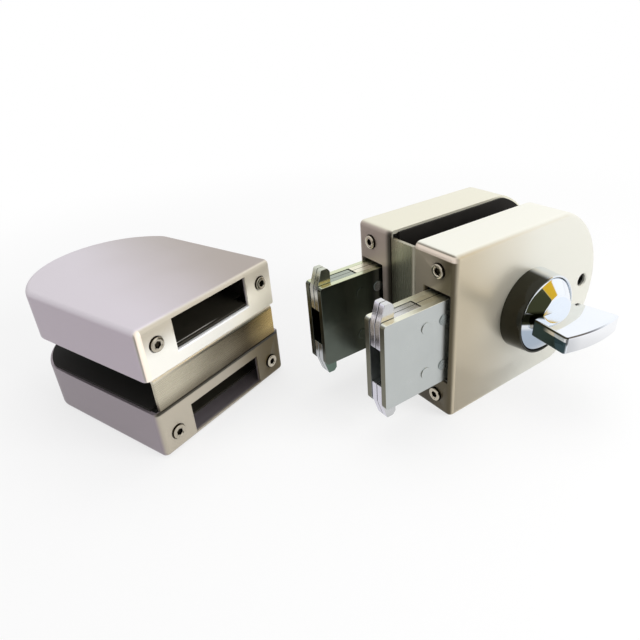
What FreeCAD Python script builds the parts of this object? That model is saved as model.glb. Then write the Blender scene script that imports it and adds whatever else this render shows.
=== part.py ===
import FreeCAD, Part
import math
import operator
import os
from types import SimpleNamespace

import Sketcher

# A clamp-on lock for a 12 mm glass door, with the strike box that lies beside it.
# Each unit is drawn in a frame of its own: x runs from the face plane into the unit, y along the
# height from its middle, and z through the glass, from the middle of the glass gap.

Vector = FreeCAD.Vector

# Driving sizes, in millimetres and degrees
SIZES = {
    # outline of both units, seen square to the glass
    "glass_gap": 14.0,  # 12 mm glass and a gasket on each side
    "half_depth": 20.0,  # one half, from the gap to its big face
    "case_height": 68.0,
    "case_depth": 88.0,
    "back_rise": 2.0,  # back arc's radius above half the height
    "corner_round": 11.0,
    # covers
    "cover_wall": 1.5,
    "cover_edge": 2.2,
    "inner_play": 0.25,  # between a cover and what sits inside it
    # slot for the bolt in each face
    "slot_half": 18.6,
    "slot_rim": 2.0,
    "slot_wide": 12.9,
    # face screws
    "screw_end_margin": 7.5,
    "screw_rim": 8.0,
    "screw_head_radius": 2.75,
    "screw_head_high": 1.7,
    "screw_head_sink": 0.7,
    "screw_crown": 0.45,
    "screw_head_play": 0.3,
    "screw_shank_radius": 1.5,
    "screw_shank_play": 0.1,
    "screw_length": 7.0,
    "screw_socket_across": 2.5,
    "screw_socket_deep": 1.1,
    "lug_wide": 6.0,
    "lug_deep": 7.0,
    "lug_over_screw": 3.4,
    # plates on the glass, and gaskets
    "plate_thick": 2.0,
    "gasket_thick": 1.0,
    "gasket_inset": 1.0,
    "gasket_play": 1.0,  # round the core
    # channel across the gap in the face
    "channel_thick": 1.5,
    "channel_end_margin": 2.6,
    "channel_sink": 0.2,
    "channel_line": 0.3,  # dark line beside the far half
    "channel_bend": 0.8,  # inside radius
    "channel_lip": 1.1,
    "tongue_reach": 14.5,
    "tongue_half": 15.0,
    # core between the halves of the lock
    "core_front": 4.0,
    "core_rear": 56.0,
    "core_half": 20.0,
    "core_bore_radius": 7.0,
    # clamp screws with nuts
    "clamp_radius": 2.0,
    "clamp_head_radius": 3.5,
    "clamp_head_high": 2.9,
    "clamp_socket_across": 3.0,
    "clamp_socket_deep": 1.6,
    "clamp_nut_across": 7.0,
    "clamp_nut_high": 3.0,
    "front_clamp_x": 10.0,
    "front_clamp_y": 8.0,
    "rear_clamp_x": 52.5,
    "rear_clamp_y": 14.0,
    "sleeve_wall": 2.5,
    # screw near the back of the lock
    "apex_screw_margin": 9.0,  # from the back
    "apex_screw_radius": 2.5,
    "apex_hole_play": 0.25,
    "apex_hole_flare": 0.5,
    "apex_boss_wall": 2.0,
    "apex_boss_high": 8.0,
    "apex_socket_across": 2.5,
    "apex_socket_deep": 2.5,
    # spindle, pinions and their bushes
    "spindle_x": 42.5,
    "spindle_radius": 4.0,
    "spindle_play": 0.05,
    "bush_wall": 1.95,
    "bush_flange_radius": 7.5,
    "bush_flange_thick": 1.5,
    "gear_module": 1.0,
    "pinion_teeth": 19,
    "pressure_angle": 20.0,
    "tooth_play": 0.2,
    "hub_radius": 6.5,
    "end_play": 0.3,
    "circlip_radius": 6.3,
    "circlip_thick": 0.8,
    "circlip_opening": 50.0,
    # hook bolts
    "turn_angle": 180.0,
    "tip_sink": 0.85,  # tip behind the face when drawn in
    "slot_end_play": 1.4,
    "slot_face_play": 1.25,
    "bolt_plate": 2.4,
    "bolt_corner": 1.5,
    "rivet_radius": 1.6,
    "rivet_y": 9.6,
    "rivet_head": 0.3,
    "rivet_head_radius": 2.2,
    "pin_radius": 2.0,
    "pin_play": 0.05,
    "bolt_play": 0.1,  # in the guide rails
    "rack_clear": 0.5,  # behind and in front of the pinion
    "rack_rear": 50.0,
    "rack_lower_clear": 0.8,
    # jaws in the bolt tips
    "jaw_pivot_back": 18.8,  # pivot behind the tip
    "jaw_pivot_y": 9.4,
    "jaw_eye": 5.0,
    "jaw_clear": 0.4,
    "jaw_side_play": 0.25,
    "jaw_tip_sink": 0.2,
    "jaw_nose_high": 23.2,
    "jaw_nose_back": 6.4,
    "jaw_nose_lean": 2.4,
    "jaw_nose_tip": 2.8,
    "jaw_slit": 0.3,
    "upper_jaw_lip": 6.5,
    "lower_jaw_lip": 8.5,
    # guides for the bolts
    "rail_wall": 3.0,
    "rail_front": 14.0,
    "rail_rear": 48.0,
    "rail_floor_half": 12.0,
    "strap_front": 18.0,
    "strap_wide": 10.0,
    "strap_thick": 0.9,
    # round plate and thumb-turn
    "rose_radius": 16.9,
    "rose_rim_radius": 16.1,
    "rose_high": 8.8,
    "rose_lip": 0.9,
    "rose_floor": 5.5,
    "spigot_radius": 9.2,
    "spigot_play": 0.1,
    "turn_side_play": 0.3,
    "turn_cone_high": 4.2,
    "turn_rim_high": 2.8,
    "turn_neck_radius": 9.5,
    "paddle_root_half": 13.4,
    "paddle_tip_half": 17.0,
    "paddle_reach": 30.1,  # from the cover
    "paddle_tilt": 6.0,  # a little off level, as photographed
    "paddle_bulge": 1.9,
    "paddle_thick": 6.8,
    "paddle_edge": 0.9,
    # key cylinder on the other side
    "ring_high": 6.0,
    "ring_inner_radius": 12.3,
    "cylinder_radius": 12.1,
    "cylinder_high": 9.0,
    "plug_radius": 6.5,
    "plug_deep": 7.0,
    "plug_proud": 0.4,
    "keyway_wide": 1.8,
    "keyway_high": 8.5,
    "keyway_deep": 5.5,
    # box behind each slot of the strike
    "box_deep": 26.0,
    "box_half": 25.0,
    "box_sheet": 0.8,
    "box_floor_play": 0.45,  # under the bolt
    "box_lip_over": 0.4,  # floor wider than the slot, at each end
    # places of the two units in the row's frame
    "lock_face_x": 14.793,
    "lock_middle_y": -31.253,
    "strike_face_x": -48.607,
    "strike_face_y": 3.647,
    "strike_turn": 20.5,
}


class Size:
    """A size that knows its formula in the sheet and its value now."""

    def __init__(self, text, now):
        self.text = text
        self.now = now

    def __add__(self, other):
        return joined(self, "+", other)

    def __radd__(self, other):
        return joined(other, "+", self)

    def __sub__(self, other):
        return joined(self, "-", other)

    def __rsub__(self, other):
        return joined(other, "-", self)

    def __mul__(self, other):
        return joined(self, "*", other)

    def __rmul__(self, other):
        return joined(other, "*", self)

    def __truediv__(self, other):
        return joined(self, "/", other)

    def __neg__(self):
        return joined(0, "-", self)


OPERATIONS = {"+": operator.add, "-": operator.sub, "*": operator.mul, "/": operator.truediv}


def as_size(number):
    """Any number as a size."""
    if isinstance(number, Size):
        return number
    return Size("(%r)" % float(number), float(number))


def joined(left, sign, right):
    """The sum, difference, product or quotient of two sizes."""
    left = as_size(left)
    right = as_size(right)
    now = OPERATIONS[sign](left.now, right.now)
    return Size("(%s %s %s)" % (left.text, sign, right.text), now)


def root(size):
    """Square root of a size."""
    return Size("sqrt(%s)" % size.text, math.sqrt(size.now))


def tangent(angle):
    """Tangent of an angle in degrees."""
    return Size("tan(%s * 1 deg)" % angle.text, math.tan(math.radians(angle.now)))


def whole(size):
    """The whole number just below a size."""
    return Size("floor(%s)" % size.text, float(math.floor(size.now)))


doc = FreeCAD.newDocument("glass_door_lock")
sheet = doc.addObject("Spreadsheet::Sheet", "Sizes")
for row, (name, number) in enumerate(SIZES.items(), start=1):
    sheet.set("A%d" % row, name)
    sheet.set("B%d" % row, str(number))
    sheet.setAlias("B%d" % row, name)
doc.recompute()
size = SimpleNamespace(**{name: Size("Sizes.%s" % name, float(sheet.get(name))) for name in SIZES})

# Sizes that follow from the driving ones
half_gap = size.glass_gap / 2
half_height = size.case_height / 2
big_face_z = half_gap + size.half_depth
back_radius = half_height + size.back_rise
back_centre_x = size.case_depth - back_radius
corner_y = half_height - size.corner_round
corner_reach = back_radius - size.corner_round
corner_x = back_centre_x + root(corner_reach * corner_reach - corner_y * corner_y)
inner_inset = size.cover_wall + size.inner_play
plate_top_z = half_gap + size.plate_thick
cover_inside_z = big_face_z - size.cover_wall

slot_far_z = big_face_z - size.slot_rim
slot_near_z = slot_far_z - size.slot_wide
screw_y = half_height - size.screw_end_margin
screw_z = big_face_z - size.screw_rim

pitch_radius = size.gear_module * size.pinion_teeth / 2
pinion_radius = pitch_radius + size.gear_module
tooth_pitch = size.gear_module * math.pi
tooth_foot = size.gear_module * 1.25
throw = pitch_radius * size.turn_angle * (math.pi / 180)
apex_screw_x = size.case_depth - size.apex_screw_margin

bolt_half = size.slot_half - size.slot_end_play
bolt_near_z = slot_near_z + size.slot_face_play
bolt_far_z = slot_far_z - size.slot_face_play
core_near_z = bolt_near_z + size.bolt_plate
core_far_z = bolt_far_z - size.bolt_plate
bolt_tip_x = size.tip_sink - throw
jaw_pivot_x = bolt_tip_x + size.jaw_pivot_back
rack_front_x = jaw_pivot_x + size.jaw_eye + size.jaw_clear
window_front_x = size.spindle_x - throw - pinion_radius - size.rack_clear
bolt_plate_rear_x = size.spindle_x - throw - size.hub_radius - size.rack_clear
rivet_x = (rack_front_x + window_front_x) / 2

bush_radius = size.spindle_radius + size.spindle_play + size.bush_wall
bush_top_z = plate_top_z + size.bush_flange_thick
pinion_near_z = core_near_z + size.jaw_side_play
pinion_far_z = core_far_z - size.jaw_side_play
rose_floor_z = big_face_z + size.rose_floor
turn_base_z = rose_floor_z + size.turn_side_play
turn_top_z = turn_base_z + size.turn_rim_high + size.turn_cone_high
spindle_front_z = turn_top_z - size.cover_wall
plug_end_z = big_face_z + size.cylinder_high + size.plug_proud
spindle_rear_z = plug_end_z - size.plug_deep

pieces = []


class Unit:
    """A unit's place in the row's frame: a turn of its own frame, and the place of its origin."""

    def __init__(self, axis, angle, x, y, z):
        self.axis = axis
        self.angle = as_size(angle)
        self.place = {"x": as_size(x), "y": as_size(y), "z": as_size(z)}

    def carry(self, thing):
        turn = FreeCAD.Rotation(self.axis, self.angle.now)
        thing.Placement = FreeCAD.Placement(Vector(0, 0, 0), turn)
        thing.setExpression("Placement.Rotation.Angle", self.angle.text + " * 1 deg")
        for letter, length in self.place.items():
            thing.setExpression("Placement.Base." + letter, length.text)


# The lock stands on one long side with its front half towards -Y; the strike lies on its lower half.
LOCK = Unit(Vector(1, 0, 0), 90, size.lock_face_x, size.lock_middle_y, half_height)
STRIKE = Unit(Vector(0, 0, 1), 90 + size.strike_turn, size.strike_face_x, size.strike_face_y, big_face_z)


def finished(thing, label, unit):
    """Names a piece, carries it to its unit's place and keeps it for export."""
    thing.Label = label
    unit.carry(thing)
    pieces.append(thing)


class Solid:
    """A body built from sketches on its own origin planes."""

    def __init__(self, name):
        self.body = doc.addObject("PartDesign::Body", name)

    def origin(self, role):
        """One of the body's own planes or axes."""
        return [part for part in self.body.Origin.OriginFeatures if part.Role == role][0]

    def sketch(self, plane, offset, across=0):
        """An empty sketch on an origin plane, moved along the plane's normal and across it."""
        drawing = self.body.newObject("Sketcher::SketchObject", "Sketch")
        drawing.AttachmentSupport = [(self.origin(plane), "")]
        drawing.MapMode = "FlatFace"
        drawing.setExpression("AttachmentOffset.Base.z", as_size(offset).text)
        drawing.setExpression("AttachmentOffset.Base.x", as_size(across).text)
        return drawing

    def outline(self, plane, offset, points, arcs=None, across=0):
        """A closed outline; arcs gives an edge's radius and its side, 1 to the right of its way."""
        arcs = arcs or {}
        drawing = self.sketch(plane, offset, across)
        corners = [(as_size(x), as_size(y)) for x, y in points]
        ends = []
        for index, start in enumerate(corners):
            finish = corners[(index + 1) % len(corners)]
            first = Vector(start[0].now, start[1].now, 0)
            last = Vector(finish[0].now, finish[1].now, 0)
            if index in arcs:
                radius, side = arcs[index]
                drawing.addGeometry(arc_between(first, last, radius.now, side))
                ends.append((1, 2) if side > 0 else (2, 1))
            else:
                drawing.addGeometry(Part.LineSegment(first, last))
                ends.append((1, 2))
        for index, corner in enumerate(corners):
            following = (index + 1) % len(corners)
            meet = Sketcher.Constraint("Coincident", index, ends[index][1], following, ends[following][0])
            drawing.addConstraint(meet)
            place_point(drawing, index, ends[index][0], corner)
        for index, (radius, side) in arcs.items():
            fix(drawing, Sketcher.Constraint("Radius", index, radius.now), radius)
        return drawing

    def rectangle(self, plane, offset, low, high):
        """A rectangle between two corners."""
        corners = [low, (high[0], low[1]), high, (low[0], high[1])]
        return self.outline(plane, offset, corners)

    def circles(self, plane, offset, centres, radius):
        """Equal circles."""
        drawing = self.sketch(plane, offset)
        radius = as_size(radius)
        for index, (x, y) in enumerate(centres):
            x = as_size(x)
            y = as_size(y)
            drawing.addGeometry(Part.Circle(Vector(x.now, y.now, 0), Vector(0, 0, 1), radius.now))
            place_point(drawing, index, 3, (x, y))
            fix(drawing, Sketcher.Constraint("Radius", index, radius.now), radius)
        return drawing

    def hexagon(self, plane, offset, centre, across_flats, sign=1):
        """A regular hexagon with two of its sides along the sketch's first axis."""
        half = as_size(across_flats) / 2
        side = half * (2 / math.sqrt(3))
        corners = []
        for along, up in ((1, 0), (0.5, 1), (-0.5, 1), (-1, 0), (-0.5, -1), (0.5, -1)):
            corners.append((centre[0] + side * along, centre[1] + half * (up * sign)))
        return self.outline(plane, offset, corners)

    def pad(self, drawing, length, toward=1, middle=False):
        """Material from a sketch, along its plane's normal or against it."""
        feature = self.body.newObject("PartDesign::Pad", "Pad")
        feature.Profile = drawing
        feature.setExpression("Length", as_size(length).text)
        feature.Reversed = toward < 0
        feature.Midplane = middle
        return feature

    def cut(self, drawing, length, toward=1, middle=False):
        """A pocket from a sketch, along its plane's normal or against it."""
        feature = self.body.newObject("PartDesign::Pocket", "Pocket")
        feature.Profile = drawing
        feature.setExpression("Length", as_size(length).text)
        feature.Reversed = toward > 0
        feature.Midplane = middle
        cuts.append(feature)
        return feature

    def turned(self, points, centre_x, arcs=None):
        """A turned shape: points are radius and height about an axis along z at centre_x."""
        drawing = self.outline("XZ_Plane", 0, points, arcs, centre_x)
        feature = self.body.newObject("PartDesign::Revolution", "Turned")
        feature.Profile = drawing
        feature.ReferenceAxis = (drawing, ["V_Axis"])
        feature.Angle = 360
        return feature

    def rounded(self, radius, chosen):
        """Rounds the edges that a test picks."""
        doc.recompute()
        base = self.body.Tip
        names = ["Edge%d" % (index + 1) for index, edge in enumerate(base.Shape.Edges) if chosen(edge)]
        feature = self.body.newObject("PartDesign::Fillet", "Rounded")
        feature.Base = (base, names)
        feature.setExpression("Radius", as_size(radius).text)
        return feature

    def flared(self, width, chosen):
        """Chamfers the edges that a test picks."""
        doc.recompute()
        base = self.body.Tip
        names = ["Edge%d" % (index + 1) for index, edge in enumerate(base.Shape.Edges) if chosen(edge)]
        feature = self.body.newObject("PartDesign::Chamfer", "Flared")
        feature.Base = (base, names)
        feature.setExpression("Size", as_size(width).text)
        return feature


cuts = []


def arc_between(first, last, radius, side):
    """A circular arc of under half a turn between two points."""
    if side < 0:
        first, last = last, first
    chord = last - first
    rise = math.sqrt(max(radius * radius - chord.Length * chord.Length / 4, 0))
    left = Vector(-chord.y, chord.x, 0)
    left.normalize()
    centre = (first + last) * 0.5 + left * rise
    circle = Part.Circle(centre, Vector(0, 0, 1), radius)
    begin = math.atan2(first.y - centre.y, first.x - centre.x)
    finish = math.atan2(last.y - centre.y, last.x - centre.x)
    if finish < begin:
        finish += 2 * math.pi
    return Part.ArcOfCircle(circle, begin, finish)


def fix(drawing, constraint, length):
    """Adds a constraint and ties it to the sheet."""
    number = drawing.addConstraint(constraint)
    drawing.setExpression("Constraints[%d]" % number, length.text)


def place_point(drawing, geometry, point, where):
    """Holds a point of a sketch at its distances from the sketch's origin."""
    for kind, length in zip(("DistanceX", "DistanceY"), where):
        fix(drawing, Sketcher.Constraint(kind, -1, 1, geometry, point, length.now), length)


def near(one, other):
    """True when two lengths are the same."""
    return abs(one - other) < 0.01


def case_outline(solid, offset, inset, face_x):
    """The case's outline on a plane square to z, drawn in by an inset, with its own face line."""
    side_y = half_height - inset
    share = (back_radius - inset) / corner_reach
    join_x = back_centre_x + share * (corner_x - back_centre_x)
    join_y = share * corner_y
    corners = [(face_x, -side_y), (corner_x, -side_y), (join_x, -join_y), (join_x, join_y),
               (corner_x, side_y), (face_x, side_y)]
    corner = (size.corner_round - inset, 1)
    back = (back_radius - inset, 1)
    return solid.outline("XY_Plane", offset, corners, {1: corner, 2: back, 3: corner})


# Covers: pressed from stainless sheet, open towards the glass, with a slot and two screw holes in the face
def cover(label, unit, side, openings=()):
    """One half's cover; openings are centre x and radius of round holes in its big face."""
    solid = Solid(label)
    solid.pad(case_outline(solid, side * half_gap, as_size(0), 0), size.half_depth, side)
    outside = side * big_face_z.now

    def outer_edge(edge):
        box = edge.BoundBox
        on_big_face = near(box.ZMin, outside) and near(box.ZMax, outside)
        on_face_corner = near(box.XMax, 0) and box.ZLength > size.cover_edge.now
        return on_big_face or on_face_corner

    solid.rounded(size.cover_edge, outer_edge)
    hollow = case_outline(solid, side * half_gap, size.cover_wall, size.cover_wall)
    solid.cut(hollow, size.half_depth - size.cover_wall, side)
    slot_low = (-size.slot_half, side * slot_near_z)
    slot_high = (size.slot_half, side * slot_far_z)
    slot = solid.rectangle("YZ_Plane", 0, slot_low, slot_high)
    solid.cut(slot, size.cover_wall * 2)
    places = [(screw_y, side * screw_z), (-screw_y, side * screw_z)]
    solid.cut(solid.circles("YZ_Plane", 0, places, size.screw_shank_radius + size.screw_shank_play),
              size.cover_wall * 2)
    seat = size.screw_head_radius + size.screw_head_play
    solid.cut(solid.circles("YZ_Plane", 0, places, seat), size.screw_head_sink)
    for centre_x, radius in openings:
        hole = solid.circles("XY_Plane", side * big_face_z, [(centre_x, 0)], radius)
        solid.cut(hole, size.cover_wall * 2, -side)
    return solid


rose_hole = size.spigot_radius + size.spigot_play
apex_hole = size.apex_screw_radius + size.apex_hole_play
lock_front_cover = cover("lock_front_cover", LOCK, 1, [(size.spindle_x, rose_hole), (apex_screw_x, apex_hole)])


def apex_rim(edge):
    """The outer rim of the hole near the back of the lock."""
    box = edge.BoundBox
    outside = near(box.ZMin, big_face_z.now) and near(box.ZMax, big_face_z.now)
    return outside and near(box.Center.x, apex_screw_x.now) and near(box.XLength, 2 * apex_hole.now)


lock_front_cover.flared(size.apex_hole_flare, apex_rim)
finished(lock_front_cover.body, "lock_front_cover", LOCK)
finished(cover("lock_rear_cover", LOCK, -1, [(size.spindle_x, rose_hole)]).body, "lock_rear_cover", LOCK)
finished(cover("strike_upper_cover", STRIKE, 1).body, "strike_upper_cover", STRIKE)
finished(cover("strike_lower_cover", STRIKE, -1).body, "strike_lower_cover", STRIKE)


# Plates that bear on the glass: they close each cover, and carry the face screws in two lugs
front_clamps = [(size.front_clamp_x, size.front_clamp_y), (size.front_clamp_x, -size.front_clamp_y)]
rear_clamps = [(size.rear_clamp_x, size.rear_clamp_y), (size.rear_clamp_x, -size.rear_clamp_y)]


def glass_plate(label, unit, side, clamps, spindle=False, boss=False):
    """One half's plate, with its lugs and holes."""
    solid = Solid(label)
    plate = case_outline(solid, side * half_gap, inner_inset, inner_inset)
    solid.pad(plate, size.plate_thick, side)
    lug_top = side * (screw_z + size.lug_over_screw)
    for end in (1, -1):
        low = (end * screw_y - size.lug_wide / 2, side * half_gap)
        high = (end * screw_y + size.lug_wide / 2, lug_top)
        solid.pad(solid.rectangle("YZ_Plane", inner_inset, low, high), size.lug_deep)
    places = [(screw_y, side * screw_z), (-screw_y, side * screw_z)]
    solid.cut(solid.circles("YZ_Plane", inner_inset, places, size.screw_shank_radius), size.lug_deep * 2)
    if boss:
        round_boss = solid.circles("XY_Plane", side * half_gap, [(apex_screw_x, 0)],
                                   size.apex_screw_radius + size.apex_boss_wall)
        solid.pad(round_boss, size.plate_thick + size.apex_boss_high, side)
        thread = solid.circles("XY_Plane", side * half_gap, [(apex_screw_x, 0)], size.apex_screw_radius)
        solid.cut(thread, size.plate_thick + size.apex_boss_high, side)
    solid.cut(solid.circles("XY_Plane", side * half_gap, clamps, size.clamp_radius), size.plate_thick, side)
    if spindle:
        bore = solid.circles("XY_Plane", side * half_gap, [(size.spindle_x, 0)], bush_radius)
        solid.cut(bore, size.plate_thick, side)
    finished(solid.body, label, unit)


glass_plate("lock_front_plate", LOCK, 1, front_clamps + rear_clamps, spindle=True, boss=True)
glass_plate("lock_rear_plate", LOCK, -1, front_clamps + rear_clamps, spindle=True)
glass_plate("strike_upper_plate", STRIKE, 1, front_clamps)
glass_plate("strike_lower_plate", STRIKE, -1, front_clamps)


# Gaskets: black rubber on the glass side of each plate, cut out round what crosses the gap
def gasket(label, unit, side, window_x, window_half):
    """One half's gasket."""
    solid = Solid(label)
    sheet_outline = case_outline(solid, side * half_gap, size.gasket_inset, size.core_front)
    solid.pad(sheet_outline, size.gasket_thick, -side)
    window = solid.rectangle("XY_Plane", side * half_gap, (0, -window_half), (window_x, window_half))
    solid.cut(window, size.gasket_thick, -side)
    finished(solid.body, label, unit)


core_window = (size.core_rear + size.gasket_play, size.core_half + size.gasket_play)
tongue_window = (size.tongue_reach + size.gasket_play, size.tongue_half + size.gasket_play)
gasket("lock_front_gasket", LOCK, 1, *core_window)
gasket("lock_rear_gasket", LOCK, -1, *core_window)
gasket("strike_upper_gasket", STRIKE, 1, *tongue_window)
gasket("strike_lower_gasket", STRIKE, -1, *tongue_window)


# Channels: a bent strip across the gap in each face, with a tongue back under the front or upper plate
def channel(label, unit):
    """The strip, bent with a round corner at the front or upper half."""
    solid = Solid(label)
    outside_x = size.channel_sink
    inside_x = outside_x + size.channel_thick
    bend_x = inside_x + size.channel_bend
    lip_x = bend_x + size.channel_lip
    tongue_z = half_gap - size.channel_thick
    bend_z = tongue_z - size.channel_bend
    foot_z = size.channel_line - half_gap
    bent = [(outside_x, foot_z), (inside_x, foot_z), (inside_x, bend_z), (bend_x, tongue_z),
            (lip_x, tongue_z), (lip_x, half_gap), (bend_x, half_gap), (outside_x, bend_z)]
    arcs = {2: (size.channel_bend, -1), 6: (size.channel_bend + size.channel_thick, 1)}
    length = size.case_height - size.channel_end_margin * 2
    solid.pad(solid.outline("XZ_Plane", 0, bent, arcs), length, middle=True)
    low = (bend_x, -size.tongue_half)
    high = (size.tongue_reach, size.tongue_half)
    solid.pad(solid.rectangle("XY_Plane", half_gap, low, high), size.channel_thick, -1)
    solid.cut(solid.circles("XY_Plane", half_gap, front_clamps, size.clamp_radius), size.channel_thick, -1)
    finished(solid.body, label, unit)


channel("lock_edge_channel", LOCK)
channel("strike_edge_channel", STRIKE)


# Core: the die-cast block that joins the halves of the lock in the notch of the glass
core = Solid("lock_core_block")
core_low = (size.core_front, -size.core_half)
core_high = (size.core_rear, size.core_half)
core.pad(core.rectangle("XY_Plane", -half_gap, core_low, core_high), size.glass_gap)
step_high = (size.tongue_reach + size.inner_play, size.tongue_half + size.inner_play)
step_low = (size.core_front, -step_high[1])
core.cut(core.rectangle("XY_Plane", half_gap, step_low, step_high), size.channel_thick, -1)
core.cut(core.circles("XY_Plane", -half_gap, [(size.spindle_x, 0)], size.core_bore_radius), size.glass_gap)
core.cut(core.circles("XY_Plane", -half_gap, front_clamps + rear_clamps, size.clamp_radius), size.glass_gap)
finished(core.body, "lock_core_block", LOCK)


# Sleeves round the strike's clamp screws
sleeves = Solid("strike_clamp_sleeves")
sleeve_high = size.glass_gap - size.channel_thick
sleeve_radius = size.clamp_radius + size.sleeve_wall
sleeves.pad(sleeves.circles("XY_Plane", -half_gap, front_clamps, sleeve_radius), sleeve_high)
sleeves.cut(sleeves.circles("XY_Plane", -half_gap, front_clamps, size.clamp_radius), sleeve_high)
finished(sleeves.body, "strike_clamp_sleeves", STRIKE)


def clamp_screws(label, unit, places):
    """Socket-head screws through both plates, heads on the front or upper plate."""
    solid = Solid(label)
    shank = plate_top_z * 2 + size.clamp_nut_high
    tail_z = -plate_top_z - size.clamp_nut_high
    solid.pad(solid.circles("XY_Plane", tail_z, places, size.clamp_radius), shank)
    solid.pad(solid.circles("XY_Plane", plate_top_z, places, size.clamp_head_radius), size.clamp_head_high)
    for place in places:
        socket = solid.hexagon("XY_Plane", plate_top_z + size.clamp_head_high, place, size.clamp_socket_across)
        solid.cut(socket, size.clamp_socket_deep, -1)
    finished(solid.body, label, unit)


def clamp_nuts(label, unit, places):
    """Hexagon nuts on the clamp screws, on the rear or lower plate."""
    solid = Solid(label)
    for place in places:
        solid.pad(solid.hexagon("XY_Plane", -plate_top_z, place, size.clamp_nut_across), size.clamp_nut_high, -1)
    solid.cut(solid.circles("XY_Plane", -plate_top_z, places, size.clamp_radius), size.clamp_nut_high, -1)
    finished(solid.body, label, unit)


clamp_screws("lock_clamp_screws", LOCK, front_clamps + rear_clamps)
clamp_nuts("lock_clamp_nuts", LOCK, front_clamps + rear_clamps)
clamp_screws("strike_clamp_screws", STRIKE, front_clamps)
clamp_nuts("strike_clamp_nuts", STRIKE, front_clamps)


# Face screws: low socket heads in shallow seats, driven through the cover into the plate's lugs
def face_screws(label, unit):
    """The four screws of one face."""
    solid = Solid(label)
    places = [(end * screw_y, side * screw_z) for end in (1, -1) for side in (1, -1)]
    head_top = size.screw_head_sink - size.screw_head_high
    solid.pad(solid.circles("YZ_Plane", head_top, places, size.screw_head_radius), size.screw_head_high)
    top = head_top.now

    def crown(edge):
        return near(edge.BoundBox.XMin, top) and near(edge.BoundBox.XMax, top)

    solid.flared(size.screw_crown, crown)
    solid.pad(solid.circles("YZ_Plane", size.screw_head_sink, places, size.screw_shank_radius), size.screw_length)
    for place in places:
        socket = solid.hexagon("YZ_Plane", head_top, place, size.screw_socket_across)
        solid.cut(socket, size.screw_socket_deep)
    finished(solid.body, label, unit)


face_screws("lock_face_screws", LOCK)
face_screws("strike_face_screws", STRIKE)


# Set screw at the back of the lock: it presses the glass through the hole in the front cover
apex = Solid("lock_apex_screw")
apex_place = [(apex_screw_x, as_size(0))]
apex_top_z = plate_top_z + size.apex_boss_high - size.end_play
apex.pad(apex.circles("XY_Plane", half_gap, apex_place, size.apex_screw_radius), apex_top_z - half_gap)
apex.cut(apex.hexagon("XY_Plane", apex_top_z, apex_place[0], size.apex_socket_across), size.apex_socket_deep, -1)
finished(apex.body, "lock_apex_screw", LOCK)


# Guide rails: an upper and a lower brass rail on each plate of the lock, where the rack arms slide
def guide_rails(label, side):
    """Two angle-shaped rails."""
    solid = Solid(label)
    inner_y = bolt_half + size.bolt_play
    length = size.rail_rear - size.rail_front
    top_z = bolt_far_z + size.slot_face_play / 2
    floor_z = bolt_near_z - size.bolt_play
    for end in (1, -1):
        section = [(end * size.rail_floor_half, side * plate_top_z),
                   (end * (inner_y + size.rail_wall), side * plate_top_z),
                   (end * (inner_y + size.rail_wall), side * top_z), (end * inner_y, side * top_z),
                   (end * inner_y, side * floor_z), (end * size.rail_floor_half, side * floor_z)]
        solid.pad(solid.outline("YZ_Plane", size.rail_front, section), length)
    finished(solid.body, label, LOCK)


def guide_strap(label, side):
    """A strap over the bolt, from rail to rail."""
    solid = Solid(label)
    half = bolt_half + size.bolt_play + size.rail_wall
    low = (size.strap_front, -half)
    high = (size.strap_front + size.strap_wide, half)
    rail_top = bolt_far_z + size.slot_face_play / 2
    solid.pad(solid.rectangle("XY_Plane", side * rail_top, low, high), size.strap_thick, side)
    finished(solid.body, label, LOCK)


guide_rails("front_guide_rails", 1)
guide_rails("rear_guide_rails", -1)
guide_strap("front_guide_strap", 1)
guide_strap("rear_guide_strap", -1)


# Spindle with its bushes: one steel shaft through both halves turns both pinions
def spindle_bush(label, side):
    """A flanged bush in a plate."""
    solid = Solid(label)
    bore = size.spindle_radius + size.spindle_play
    section = [(bore, side * half_gap), (bush_radius, side * half_gap), (bush_radius, side * plate_top_z),
               (size.bush_flange_radius, side * plate_top_z), (size.bush_flange_radius, side * bush_top_z),
               (bore, side * bush_top_z)]
    solid.turned(section, size.spindle_x)
    finished(solid.body, label, LOCK)


spindle_bush("front_spindle_bush", 1)
spindle_bush("rear_spindle_bush", -1)

spindle = Solid("spindle")
spindle_circle = spindle.circles("XY_Plane", -spindle_rear_z, [(size.spindle_x, 0)], size.spindle_radius)
spindle.pad(spindle_circle, spindle_rear_z + spindle_front_z)
finished(spindle.body, "spindle", LOCK)


# Pinions: involute teeth, so that they run on the straight-sided racks
def involute(radius, base_radius):
    """The involute's angle at a radius."""
    slope = math.acos(min(base_radius / radius, 1.0))
    return math.tan(slope) - slope


def tooth_point(radius, angle, z):
    """A point at a radius and angle about the spindle's axis."""
    return Vector(size.spindle_x.now + radius * math.cos(angle), radius * math.sin(angle), z)


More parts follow.
